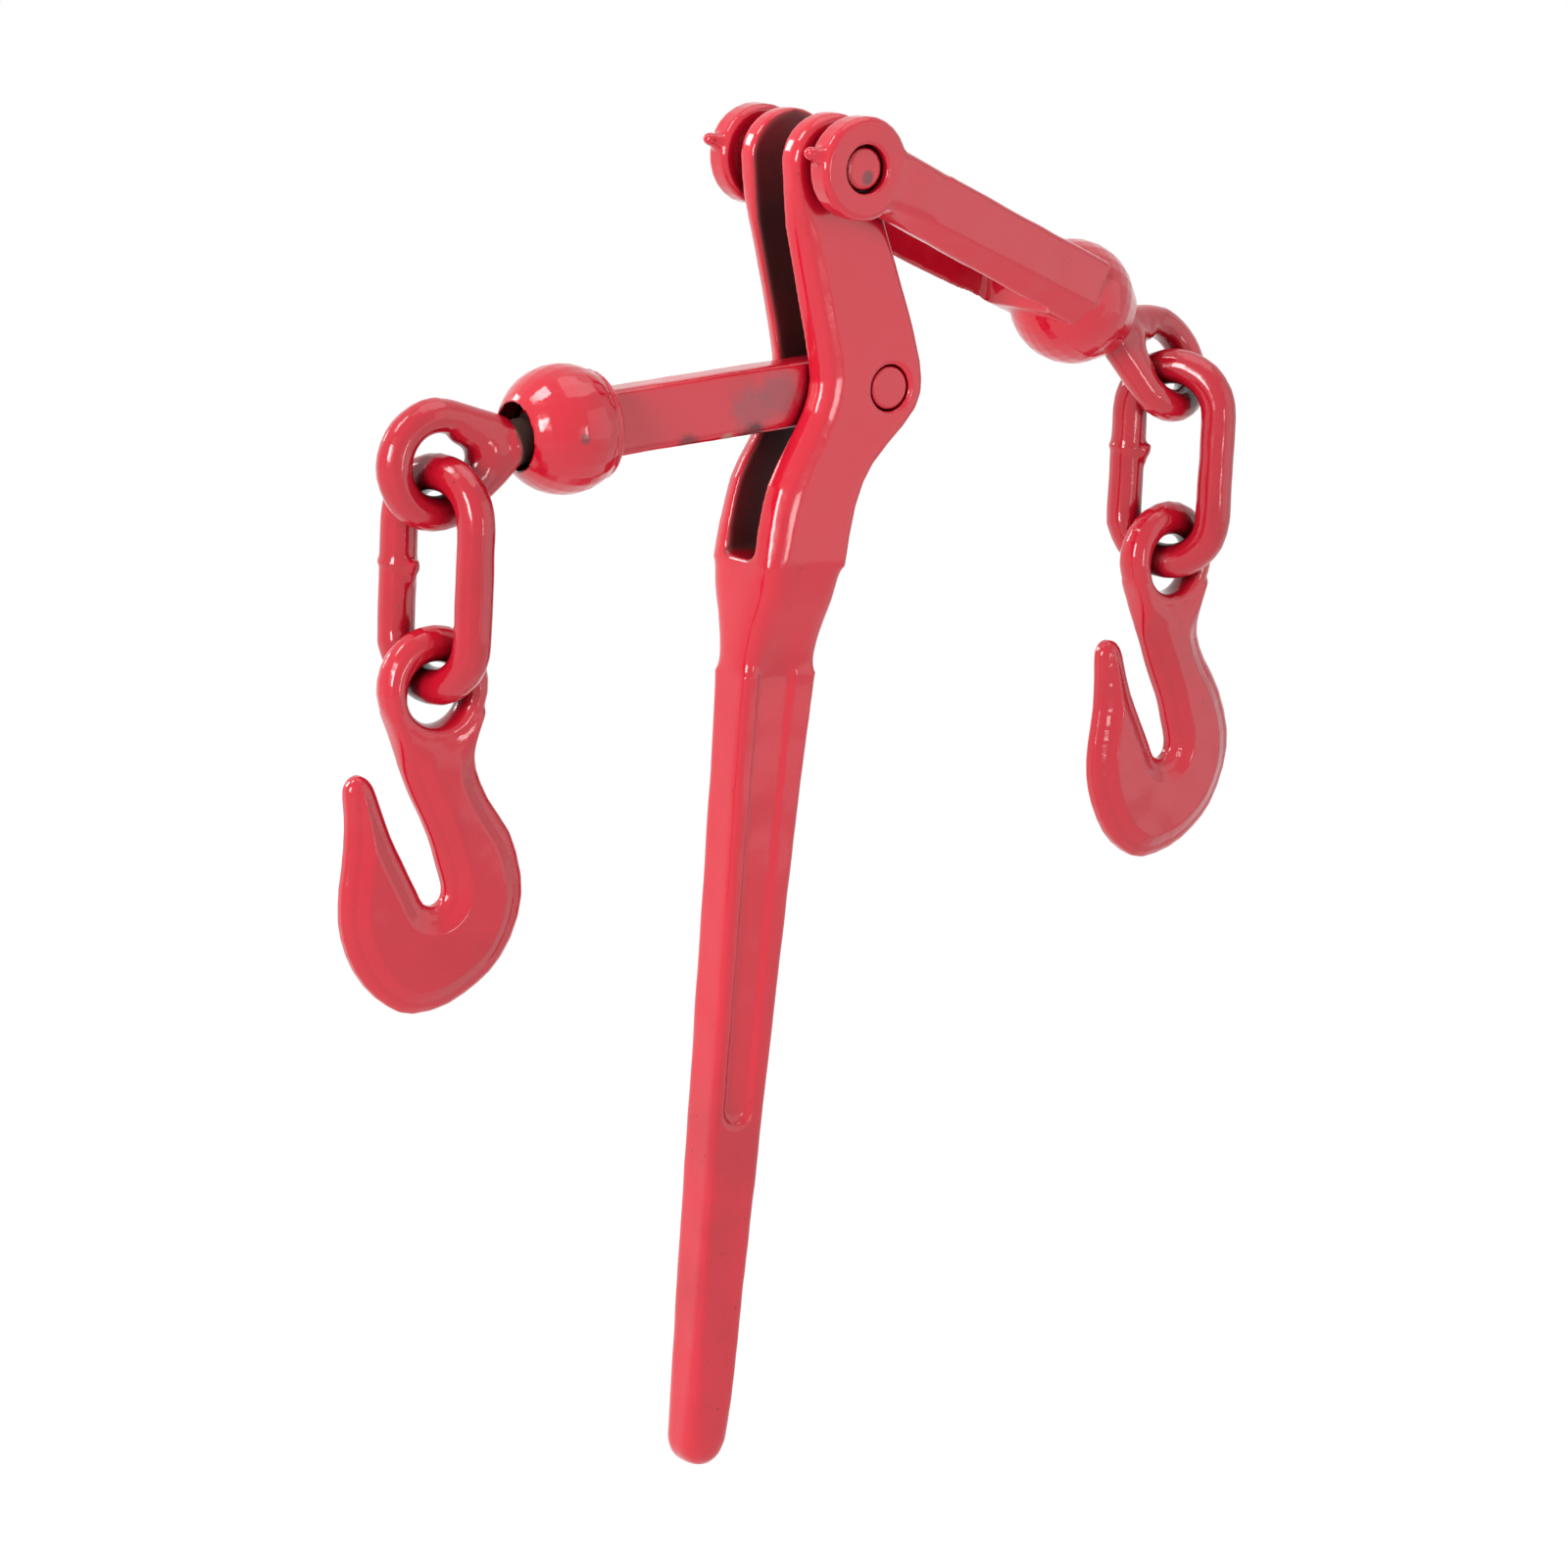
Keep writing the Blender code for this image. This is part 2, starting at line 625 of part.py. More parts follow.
def build_heel_bar(lever):
    frame = along(KNEE, HEEL_ANGLE)
    half = BAR_HEIGHT / 2
    eye = half + BAR_EYE_SWELL
    flat = math.degrees(math.asin(half / eye))
    reach = HEEL_SOCKET_REACH - HEEL_SOCKET_RADIUS / 2
    outline = arc((0.0, 0.0), eye, flat, 360.0 - flat, 20) + [(reach, -half), (reach, half)]
    bar = plate("heel_bar", outline, BAR_THICKNESS / 2, BAR_EDGE, frame)
    centre = frame @ Matrix.Translation((HEEL_SOCKET_REACH, 0.0, 0.0))
    back = HEEL_SOCKET_RADIUS - HEEL_LIP_INSET
    lip = math.sqrt(HEEL_SOCKET_RADIUS**2 - back**2) + HEEL_LIP_PROUD
    near_lip = math.degrees(math.acos((HEEL_LIP_PROUD - back) / HEEL_SOCKET_RADIUS))
    profile = ball(HEEL_SOCKET_RADIUS, 0.0, near_lip, 12)
    profile += [(lip, HEEL_LIP_PROUD / 2 - back), (lip - HEEL_LIP_PROUD, -HEEL_LIP_PROUD / 2 - back)]
    profile += [(lip / 2, -2 * HEEL_LIP_PROUD - back), (0.0, -2 * HEEL_LIP_PROUD - back)]
    add(bar, turned("heel_socket_body", profile, centre, cutter=True))
    cut(bar, socket_cutter("heel_socket_cavity", centre, HEEL_SOCKET_RADIUS))
    cut(bar, pin("bar_hole", KNEE_PIN_RADIUS + GAP, BAR_THICKNESS, KNEE, cutter=True))
    paint(bar, RED, 0.22)
    hang(bar, lever)
    return bar


# ------------------------------------------------------------------ yoke
def arm_outer(share):
    """Outer y of the arms at a share of the reach from the trunnions to the socket."""
    end = YOKE_SOCKET_RADIUS + 0.8 * MM
    return EAR_OUTER + (end - EAR_OUTER) * (max(share, 0.1) - 0.1) / 0.75


def arms():
    """Both arms as one wedge, from the ears into the socket's ball."""
    rings = []
    for share in (0.07, 0.17, 0.31, 0.48, 0.63, 0.72, 0.82, 0.95):
        y = arm_outer(share)
        top = blend(ARM_TOP, share**2)
        crease = blend(ARM_CREASE, share)
        side = [
            (y - ARM_EDGE, top),
            (y - 0.3 * ARM_EDGE, top - 0.3 * ARM_EDGE),
            (y, top - ARM_EDGE),
            (y, crease),
            (y - ARM_BEVEL * 0.85, 0.5 * MM - ARM_LOW),
            (y - ARM_BEVEL, -ARM_LOW),
        ]
        reach = share * YOKE_SOCKET_REACH
        rings.append([(reach, a, b) for a, b in side] + [(reach, -a, b) for a, b in reversed(side)])
    return rings


def opening():
    """The space between the arms, which closes over the lever's knee; its far corners are rounded."""
    end = YOKE_SOCKET_REACH - YOKE_SOCKET_RADIUS - SADDLE_WALL
    saddle = half_width(KNEE_DROP) + SADDLE_PLAY
    tall = 2 * YOKE_SOCKET_RADIUS
    start = end - SADDLE_ROUND
    steps = [(-2 * EAR_RADIUS, EAR_INNER), (EAR_RADIUS / 2, EAR_INNER)]
    steps += [(start + out, saddle - SADDLE_ROUND + side) for out, side in arc((0.0, 0.0), SADDLE_ROUND, 90, 0, 4)]
    rings = []
    for i, (reach, y) in enumerate(steps):
        low = reach + tall * SADDLE_SLOPE if i > 1 else reach
        upper = [(reach, y, 0.0), (reach, y, tall), (reach, -y, tall), (reach, -y, 0.0)]
        rings.append(upper + [(low, -y, -tall), (low, y, -tall)])
    return rings


def build_yoke(lever):
    frame = along(Vector(), YOKE_ANGLE)
    yoke = loft("clevis_yoke", arms(), frame)
    for name, side in (("near", -1), ("far", 1)):
        middle = Vector((0.0, side * (EAR_INNER + EAR_OUTER) / 2, 0.0))
        add(yoke, pin(f"{name}_ear", EAR_RADIUS, EAR_THICKNESS / 2, middle, EAR_ROUND, cutter=True))
        root = EAR_RADIUS + NUB_PROUD - NUB_RADIUS
        profile = [(r, h + root) for r, h in ball(NUB_RADIUS, 0.0, 90.0, 4)]
        profile += [(NUB_RADIUS, EAR_RADIUS / 2), (0.0, EAR_RADIUS / 2)]
        # The parting line leaves the ear away from the arm.
        add(yoke, turned(f"{name}_nub", profile, along(middle, YOKE_ANGLE + 189), cutter=True, steps=12))
    centre = frame @ Matrix.Translation((YOKE_SOCKET_REACH, 0.0, 0.0))
    face = YOKE_SOCKET_RADIUS - YOKE_FACE_INSET
    bevel = 0.5 * MM
    near_face = math.degrees(math.acos((face - 2 * bevel) / YOKE_SOCKET_RADIUS))
    start = max(near_face, math.degrees(math.asin(FACE_RADIUS / YOKE_SOCKET_RADIUS)))
    profile = [(0.0, face), (FACE_RADIUS - bevel, face), (FACE_RADIUS, face - bevel)]
    profile += ball(YOKE_SOCKET_RADIUS, start + 12, 180.0, 12)
    add(yoke, turned("yoke_socket_body", profile, centre, cutter=True))
    cut(yoke, loft("opening_cutter", opening(), frame, cutter=True))
    cut(yoke, socket_cutter("yoke_socket_cavity", centre, YOKE_SOCKET_RADIUS))
    cut(yoke, pin("ear_hole", TRUNNION_RADIUS + EAR_PLAY, 2 * EAR_OUTER, Vector(), cutter=True))
    paint(yoke, RED, 0.22)
    hang(yoke, lever)
    return yoke


# ------------------------------------------------------------------ swivel eyes
def eye_path():
    """The centre line of the eye's wire, pear shaped, in its frame's XZ plane."""
    slope = math.degrees(math.asin((EYE_BEND_RADIUS - EYE_NECK_RADIUS) / EYE_LENGTH))
    path = arc((EYE_REACH, 0.0), EYE_BEND_RADIUS, -90 - slope, 90 + slope, 22)
    return path + arc((EYE_NECK_REACH, 0.0), EYE_NECK_RADIUS, 90 + slope, 270 - slope, 8)


def build_swivel_eye(name, frame, carrier):
    eye = tube(name, eye_path(), EYE_WIRE_RADIUS, frame)
    neck = math.degrees(math.asin(SHANK_RADIUS / HEAD_BALL_RADIUS))
    # The shank swells a little where it runs into the eye, and ends inside the wire.
    swell = SHANK_RADIUS + 0.7 * MM
    end = EYE_NECK_REACH - EYE_NECK_RADIUS + EYE_WIRE_RADIUS / 2
    profile = [(0.0, end), (0.65 * SHANK_RADIUS, end), (swell, end - EYE_WIRE_RADIUS / 2)]
    profile.append((SHANK_RADIUS, end - 1.25 * EYE_WIRE_RADIUS))
    profile += ball(HEAD_BALL_RADIUS, neck, 180.0, 11)
    add(eye, turned(name + "_shank", profile, frame, cutter=True))
    paint(eye, RED, 0.24)
    hang(eye, carrier)
    return eye


# ------------------------------------------------------------------ links
def link_path():
    """The centre line of the link's wire, downwards from its top crown, in its frame's XZ plane."""
    bend = LINK_WIDTH / 2 - LINK_WIRE_RADIUS
    straight = LINK_LENGTH - LINK_WIDTH
    side = [(-bend, -bend - straight * share) for share in (0.35, 0.5, 0.65)]
    return arc((0.0, -bend), bend, 0, 180, 14) + side + arc((0.0, -bend - straight), bend, 180, 360, 14)


def build_link(name, top, yaw, hub, carrier):
    """A link hanging from the point where its top crown's wire centre sits, swinging about the hub."""
    path = link_path()
    swell = [1.0] * len(path)
    swell[path.index(min(path)) + 1] = WELD_SWELL
    link = tube(name, path, LINK_WIRE_RADIUS, yawed(top, yaw), swell)
    paint(link, RED, 0.24)
    swing = place(None, name + "_swing", Matrix.Translation(hub))
    hang(swing, carrier)
    hang(link, swing)
    return link


# ------------------------------------------------------------------ hooks
def eye_ring_points():
    """Rings of points round the hook's eye: round-sectioned, thicker over the top than at its sides."""
    rise = HOOK_TOP - HOOK_EYE_RADIUS
    rings = []
    for way in (2 * math.pi * i / 28 for i in range(28)):
        up = math.sin(way)
        outer = rise * up + math.sqrt(HOOK_EYE_RADIUS**2 - (rise * math.cos(way)) ** 2)
        middle = (outer + HOOK_HOLE_RADIUS) / 2
        reach = (outer - HOOK_HOLE_RADIUS) / 2
        half = blend((HOOK_HALF, HOOK_CROWN_HALF), max(up, 0.0))
        ring = []
        for turn in (2 * math.pi * j / 12 for j in range(12)):
            radius = middle + reach * math.cos(turn)
            ring.append((radius * math.cos(way), half * math.sin(turn), radius * math.sin(way)))
        rings.append(ring)
    return rings


def build_hook(name, hole, yaw, carrier):
    outline = [(x * MM, z * MM) for x, z in HOOK_OUTLINE]
    # The plate ends inside the eye's ring.
    outline += arc((0.0, 0.0), HOOK_HOLE_RADIUS + 1.3 * HOOK_EDGE, -40, -140, 6)
    hook = plate(name, smooth_closed(outline, 2), HOOK_HALF, HOOK_EDGE, yawed(hole, yaw))
    add(hook, loft(name + "_ring", eye_ring_points(), yawed(hole, yaw), cutter=True, wrap=True))
    paint(hook, RED, 0.24)
    hang(hook, carrier)


# ------------------------------------------------------------------ chains
def build_chain(side, carrier, eye_frame, seat_swing, link_yaw, hook_yaw):
    """Swivel eye, link and hook, each hanging as low as the one above lets it."""
    eye = build_swivel_eye(f"{side}_swivel_eye", eye_frame, carrier)
    hub = eye_frame @ Vector((EYE_REACH, 0.0, 0.0))
    out = eye_frame.to_3x3() @ Vector((1.0, 0.0, 0.0))
    across = eye_frame.to_3x3() @ Vector((0.0, 0.0, 1.0))
    lowest = math.atan2(-across.z, -out.z)
    turn = lowest - math.radians(math.copysign(1.0, lowest) * seat_swing)
    seat = hub + (out * math.cos(turn) + across * math.sin(turn)) * EYE_BEND_RADIUS
    eye_wire = [eye_frame @ Vector((x, 0.0, z)) for x, z in eye_path()]
    link_wire = [yawed(seat, link_yaw) @ Vector((x, 0.0, z)) for x, z in link_path()]
    rise = clear_rise(link_wire, eye_wire, EYE_WIRE_RADIUS + LINK_WIRE_RADIUS + GAP)
    link = build_link(f"{side}_chain_link", seat + Vector((0.0, 0.0, rise)), link_yaw, hub, eye)
    link_wire = [point + Vector((0.0, 0.0, rise)) for point in link_wire]
    crown = seat + Vector((0.0, 0.0, rise - LINK_LENGTH + 2 * LINK_WIRE_RADIUS))
    hole = crown - Vector((0.0, 0.0, HOOK_HOLE_RADIUS))
    ring = [yawed(hole, hook_yaw) @ Vector(point) for loop in eye_ring_points() for point in loop]
    hole += Vector((0.0, 0.0, clear_rise(ring, link_wire, LINK_WIRE_RADIUS + HOOK_PLAY)))
    build_hook(f"{side}_grab_hook", hole, hook_yaw, link)


clear_scene()
lever_handle = build_lever()
build_pin(lever_handle)
heel_bar = build_heel_bar(lever_handle)
clevis_yoke = build_yoke(lever_handle)
heel_socket = along(KNEE, HEEL_ANGLE) @ Vector((HEEL_SOCKET_REACH, 0.0, 0.0))
yoke_socket = along(Vector(), YOKE_ANGLE) @ Vector((YOKE_SOCKET_REACH, 0.0, 0.0))
build_chain(
    "heel",
    heel_bar,
    along(heel_socket, HEEL_EYE_ANGLE, HEEL_EYE_TWIST),
    HEEL_SEAT_SWING,
    HEEL_LINK_YAW,
    HEEL_HOOK_YAW,
)
build_chain(
    "yoke",
    clevis_yoke,
    along(yoke_socket, YOKE_EYE_ANGLE, YOKE_EYE_TWIST),
    YOKE_SEAT_SWING,
    YOKE_LINK_YAW,
    YOKE_HOOK_YAW,
)
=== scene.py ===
import math

import bmesh
import bpy
from mathutils import Matrix, Vector, kdtree, noise


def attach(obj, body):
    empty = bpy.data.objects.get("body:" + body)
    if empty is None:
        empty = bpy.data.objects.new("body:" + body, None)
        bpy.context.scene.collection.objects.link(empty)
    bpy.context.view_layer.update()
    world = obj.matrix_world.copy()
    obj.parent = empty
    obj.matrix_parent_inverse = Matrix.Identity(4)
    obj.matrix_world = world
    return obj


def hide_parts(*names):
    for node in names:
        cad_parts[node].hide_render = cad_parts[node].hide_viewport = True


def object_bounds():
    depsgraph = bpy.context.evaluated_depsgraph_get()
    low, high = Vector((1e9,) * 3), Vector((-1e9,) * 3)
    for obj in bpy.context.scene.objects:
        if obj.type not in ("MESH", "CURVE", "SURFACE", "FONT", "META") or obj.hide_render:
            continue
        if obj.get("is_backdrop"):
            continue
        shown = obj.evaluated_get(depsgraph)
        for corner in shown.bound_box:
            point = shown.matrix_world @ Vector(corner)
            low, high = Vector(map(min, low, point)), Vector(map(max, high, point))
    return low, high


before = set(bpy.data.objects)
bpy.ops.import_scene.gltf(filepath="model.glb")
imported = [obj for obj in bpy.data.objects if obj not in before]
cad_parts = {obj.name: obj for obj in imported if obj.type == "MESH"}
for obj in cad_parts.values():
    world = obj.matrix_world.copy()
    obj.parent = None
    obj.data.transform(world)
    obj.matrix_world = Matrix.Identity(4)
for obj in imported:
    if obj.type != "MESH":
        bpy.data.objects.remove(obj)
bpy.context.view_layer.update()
mm = 0.001
print("frame loaded:", len(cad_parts), "solids")

scene = bpy.context.scene
scene.view_settings.view_transform = "Standard"

pieces = bpy.data.collections.new("chainBinder")
scene.collection.children.link(pieces)
studio = bpy.data.collections.new("studio")
scene.collection.children.link(studio)


# Shader maths

class Wire:  # one value in a material, with Python's arithmetic
    def __init__(self, shader, socket):
        self.shader = shader
        self.socket = socket

    def math(self, operation, *others):
        values = {0: self, **dict(enumerate(others, 1))}
        return self.shader.node("ShaderNodeMath", {"operation": operation}, values)

    def __add__(self, other):
        return self.math("ADD", other)

    __radd__ = __add__

    def __sub__(self, other):
        return self.math("SUBTRACT", other)

    def __rsub__(self, other):
        return self.shader.node("ShaderNodeMath", {"operation": "SUBTRACT"}, {0: other, 1: self})

    def __mul__(self, other):
        return self.math("MULTIPLY", other)

    __rmul__ = __mul__

    def top(self, other):
        return self.math("MAXIMUM", other)


class Shader:  # one material's node tree
    def __init__(self, name):
        self.material = bpy.data.materials.new(name)
        self.material.use_nodes = True
        self.tree = self.material.node_tree
        self.tree.nodes.clear()
        self.output = self.tree.nodes.new("ShaderNodeOutputMaterial")

    def node(self, kind, settings=None, values=None, out=0):
        made = self.tree.nodes.new(kind)
        for name, value in (settings or {}).items():
            setattr(made, name, value)
        for name, value in (values or {}).items():
            if isinstance(value, Wire):
                self.tree.links.new(value.socket, made.inputs[name])
            else:
                made.inputs[name].default_value = value
        return Wire(self, made.outputs[out])

    def place(self):
        return self.node("ShaderNodeTexCoord", out="Object")

    def cloud(self, scale, detail, rough, seed=0.0):
        shift = (seed, seed, seed)
        shifted = self.node("ShaderNodeMapping", {}, {"Vector": self.place(), "Location": shift})
        values = {"Vector": shifted, "Scale": scale, "Detail": detail, "Roughness": rough}
        return self.node("ShaderNodeTexNoise", {}, values)

    def axes(self):
        split = self.node("ShaderNodeSeparateXYZ", {}, {"Vector": self.place()}).socket.node
        return [Wire(self, out) for out in split.outputs]

    def step(self, value, low, high):  # 0 below low, 1 above high, smooth between
        values = {"Value": value, "From Min": low, "From Max": high}
        return self.node("ShaderNodeMapRange", {"interpolation_type": "SMOOTHSTEP"}, values)

    def mix(self, mask, low, high):
        made = self.tree.nodes.new("ShaderNodeMix")
        made.data_type = "RGBA"
        for socket, value in ((made.inputs[0], mask), (made.inputs[6], low), (made.inputs[7], high)):
            if isinstance(value, Wire):
                self.tree.links.new(value.socket, socket)
            else:
                socket.default_value = value
        return Wire(self, made.outputs[2])

    def spot(self, centre, radius, soft):  # 1 inside a ball round centre, in metres
        ends = {0: self.place(), 1: centre}
        away = self.node("ShaderNodeVectorMath", {"operation": "DISTANCE"}, ends, out="Value")
        return 1 - self.step(away, radius, radius + soft)

    def surface(self, values):
        shine = self.node("ShaderNodeBsdfPrincipled", {}, values)
        self.tree.links.new(shine.socket, self.output.inputs["Surface"])
        return self.material


# Red enamel over forged steel

enamelLook = dict(
    red=(0.60, 0.006, 0.024, 1),
    deep=(0.32, 0.003, 0.010, 1),
    # This dark colour serves the random specks of dirt, and also the painted shade in crevices and
    # inside the lever's slot.
    grimeAndShade=(0.024, 0.0008, 0.0008, 1),
    rough=0.15,
    peel=0.16,
    # how far the ambient-occlusion test reaches for the painted shade in crevices
    nookShadeReach=0.024,
    lacquer=0.25,
    lacquerRough=0.04,
    glass=1.5,  # index of refraction
    # clouds: scale, detail, roughness, seed
    broad=(38, 4, 0.55, 0.0),
    fine=(420, 3, 0.6, 3.1),
    grain=(950, 2, 0.5, 1.7),
    speck=(800, 2, 0.4, 7.9),
    dimple=(140, 4, 0.6, 5.3),
    # how much each fault shows
    deepShare=0.30,
    speckShare=0.55,
    fineRough=0.10,
    ragged=0.8,
    grainShare=0.35,
    bumpDepth=0.4 * mm,
    slotRough=0.35,
    slotEdge=0.7 * mm,
)
bareLook = dict(
    scuff=(0.20, 0.070, 0.085, 1),
    smudge=(0.10, 0.030, 0.034, 1),
    darkEdge=(0.060, 0.004, 0.006, 1),
    # a very dark red, used to darken the bar along its bottom edge
    primer=(0.33, 0.26, 0.19, 1),
    steel=(0.050, 0.021, 0.014, 1),
)


def redEnamel(name, look, marks=(), shadedTone=1.0, slotHalf=0, slotFloor=0):
    s = Shader(name)
    broad = s.cloud(*look["broad"])
    fine = s.cloud(*look["fine"])
    grain = s.cloud(*look["grain"])
    # Painted light and shade: each piece's red is scaled by its own tone, so the swivel eyes, links
    # and hooks are painted darker and the lever a little brighter, in place of the lamps lighting them
    # that way.
    red = tuple(part * shadedTone for part in look["red"][:3]) + (1,)
    colour = s.mix(s.step(broad, 0.50, 0.72) * look["deepShare"], red, look["deep"])
    specks = s.step(s.cloud(*look["speck"]), 0.71, 0.78) * s.step(broad, 0.45, 0.60)
    colour = s.mix(specks * look["speckShare"], colour, look["grimeAndShade"])
    rough = look["rough"] + s.step(fine, 0.5, 0.8) * look["fineRough"]
    lacquer = look["lacquer"]
    for centre, radius, soft, shade, strength, dull in marks:
        blot = s.spot([part * mm for part in centre], radius * mm, soft * mm)
        worn = s.step(blot + (fine - 0.5) * look["ragged"], 0.20, 0.90) * strength
        colour = s.mix(worn, colour, shade)
        rough = rough + worn * dull
    # Painted shade: inside the lever's slot the colour is mixed toward the dark grime-and-shade
    # colour, as the shade in this recess. The roughness also rises there and the lacquer is taken off.
    if slotHalf:
        y, z = s.axes()[1:]
        inside = 1 - s.step(y.math("ABSOLUTE"), slotHalf, slotHalf + look["slotEdge"])
        inside = inside * s.step(z, slotFloor - 1 * mm, slotFloor + 1.5 * mm)
        colour = s.mix(inside * (0.5 + broad * 0.7), colour, look["grimeAndShade"])
        rough = rough + inside * look["slotRough"]
        lacquer = (1 - inside) * lacquer
    # Painted shade: where an ambient-occlusion test finds corners, crevices and nearby parts, the
    # colour turns to the dark grime-and-shade colour.
    reach = {"Distance": look["nookShadeReach"]}
    nook = s.node("ShaderNodeAmbientOcclusion", {"samples": 12}, reach, out="AO")
    clear = s.step(nook + (broad - 0.5) * 0.3, 0.08, 0.70)
    colour = s.mix(clear, look["grimeAndShade"], colour)
    height = grain * look["grainShare"] + s.cloud(*look["dimple"])
    bump = s.node("ShaderNodeBump", {}, {
        "Strength": look["peel"],
        "Distance": look["bumpDepth"],
        "Height": height,
    })
    return s.surface({
        "Base Color": colour,
        "Roughness": rough,
        "Normal": bump,
        "IOR": look["glass"],
        "Coat Weight": lacquer,
        "Coat Roughness": look["lacquerRough"],
    })


print("materials ready")


# Pieces

def finished(name, mesh, body, replaced, material):
    piece = bpy.data.objects.new(name, mesh)
    pieces.objects.link(piece)
    mesh.materials.clear()
    mesh.materials.append(material)
    mesh.shade_smooth()
    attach(piece, body)
    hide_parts(replaced)


# The solid's own shape, evenly meshed, with worn edges.

def forging(node, grain, softness, fused):
    shape = bmesh.new()
    shape.from_mesh(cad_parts[node].data)
    bmesh.ops.remove_doubles(shape, verts=shape.verts, dist=1e-6)
    if fused:
        fused(shape)
    mesh = bpy.data.meshes.new(node + "Forged")
    shape.to_mesh(mesh)
    shape.free()
    blank = bpy.data.objects.new(node + "Blank", mesh)
    scene.collection.objects.link(blank)
    even = blank.modifiers.new("even", "REMESH")
    even.mode = "VOXEL"
    even.voxel_size = grain
    worn = blank.modifiers.new("worn", "SMOOTH")
    worn.factor = 0.5
    worn.iterations = softness
    bpy.context.view_layer.update()
    graph = bpy.context.evaluated_depsgraph_get()
    made = bpy.data.meshes.new_from_object(blank.evaluated_get(graph))
    bpy.data.objects.remove(blank)
    return made


def moved(mesh, change):  # change(place, normal) gives each point's new place
    places = [vertex.co.copy() for vertex in mesh.vertices]
    normals = [each.vector.copy() for each in mesh.vertex_normals]
    spread = []
    for place, normal in zip(places, normals):
        spread.extend(change(place, normal))
    mesh.vertices.foreach_set("co", spread)
    mesh.update()


def hammered(mesh, depth, size, seed):  # the slight waviness of a forged face
    shift = Vector((seed, seed, seed))

    def change(place, normal):
        return place + normal * depth * noise.noise(place / size + shift)

    moved(mesh, change)


def softened(mesh, chosen, rounds):  # smooths the chosen points further
    shape = bmesh.new()
    shape.from_mesh(mesh)
    some = [vertex for vertex in shape.verts if chosen(vertex.co)]
    for turn in range(rounds):
        bmesh.ops.smooth_vert(shape, verts=some, factor=0.5,
                              use_axis_x=True, use_axis_y=True, use_axis_z=True)
    shape.to_mesh(mesh)
    shape.free()


def smoothly(value, low, high):
    share = min(max((value - low) / (high - low), 0.0), 1.0)
    return share * share * (3 - 2 * share)


# Lumps that fuse with a forging before it is meshed

def lump(shape, place, radius, stretch=(1, 1, 1), turn=None):
    made = bmesh.ops.create_icosphere(shape, subdivisions=3, radius=radius * mm)
    spin = (turn or Matrix()).to_4x4()
    whole = Matrix.Translation(Vector(place) * mm) @ spin @ Matrix.Diagonal((*stretch, 1))
    bmesh.ops.transform(shape, matrix=whole, verts=made["verts"])


# A flat outline given thickness along an axis. It gives back the far face's corners.

def slab(shape, corners, thick, axis):
    ring = [shape.verts.new(Vector(corner) * mm) for corner in corners]
    face = shape.faces.new(ring)
    grown = bmesh.ops.extrude_face_region(shape, geom=[face])
    top = [part for part in grown["geom"] if isinstance(part, bmesh.types.BMVert)]
    bmesh.ops.translate(shape, verts=top, vec=Vector(axis) * thick * mm)
    faces = dict.fromkeys(face for corner in ring + top for face in corner.link_faces)
    bmesh.ops.recalc_face_normals(shape, faces=list(faces))
    return top


yokeForging = dict(
    angle=-22.9,
    earOuter=22.4,
    earThick=6.6,
    webFrom=7.0,
    webTo=26.0,
    webTop=7.6,
    webLow=6.0,
    webFall=2.05,
    webThick=3.5,
    nubReach=13.0,
    nubAngle=189.0,
    blendFrom=8.3,
    blendTo=24,
    blendOut=17.5,
    blendRounds=50,
)


def yokeLumps(shape):
    look = yokeForging
    turn = Matrix.Rotation(-math.radians(look["angle"]), 4, "Y")
    for side in (-1, 1):
        outer = side * (look["earOuter"] - 0.1)
        end = outer - side * look["webFall"]
        # The arm's flat face runs on into the ear.
        corners = [
            (look["webFrom"], outer, look["webTop"]),
            (look["webTo"], end, look["webTop"] - 0.4),
            (look["webTo"], end, -look["webLow"] + 3),
            (look["webFrom"], outer, -look["webLow"]),
        ]
        turned = [turn @ Vector(corner) for corner in corners]
        slab(shape, turned, -side * look["webThick"], (0, 1, 0))
        aim = Matrix.Rotation(-math.radians(look["angle"] + look["nubAngle"]), 4, "Y")
        middle = side * (look["earOuter"] - look["earThick"] / 2)
        for reach, radius in ((look["nubReach"] - 2.4, 2.7), (look["nubReach"], 1.9)):
            lump(shape, aim @ Vector((reach, middle, 0)), radius, (1, 0.9, 0.8), aim)


def earBlend(place):  # where the arms leave the ears
    look = yokeForging
    angle = math.radians(look["angle"])
    reach = place.x * math.cos(angle) + place.z * math.sin(angle)
    within = look["blendFrom"] * mm < reach < look["blendTo"] * mm
    return within and abs(place.y) > look["blendOut"] * mm


trunnionCaps = dict(radius=4.85, inner=17.0, outer=21.3, edge=0.7, segments=48)
leverNeck = dict(low=-113, high=-88.5, rounds=130)
# The lever's slot, whose inside the enamel paints dark as painted shade.
leverSlot = dict(slotHalf=5.0 * mm, slotFloor=-87.0 * mm)


def neckBlend(place):  # where the cheeks run into the handle
    return leverNeck["low"] * mm < place.z < leverNeck["high"] * mm


def leverLumps(shape):  # the trunnions' ends, nearly flush in the ears
    look = trunnionCaps
    angles = [2 * math.pi * step / look["segments"] for step in range(look["segments"])]
    around = [(math.sin(angle) * look["radius"], math.cos(angle) * look["radius"]) for angle in angles]
    for side in (-1, 1):
        corners = [(x, side * look["inner"], z) for x, z in around]
        top = slab(shape, corners, look["outer"] - look["inner"], (0, side, 0))
        rim = [edge for corner in top for edge in corner.link_edges
               if all(end in top for end in edge.verts)]
        bmesh.ops.bevel(shape, geom=list(dict.fromkeys(rim)), offset=look["edge"] * mm, segments=3,
                        profile=0.5, affect="EDGES", material=-1)


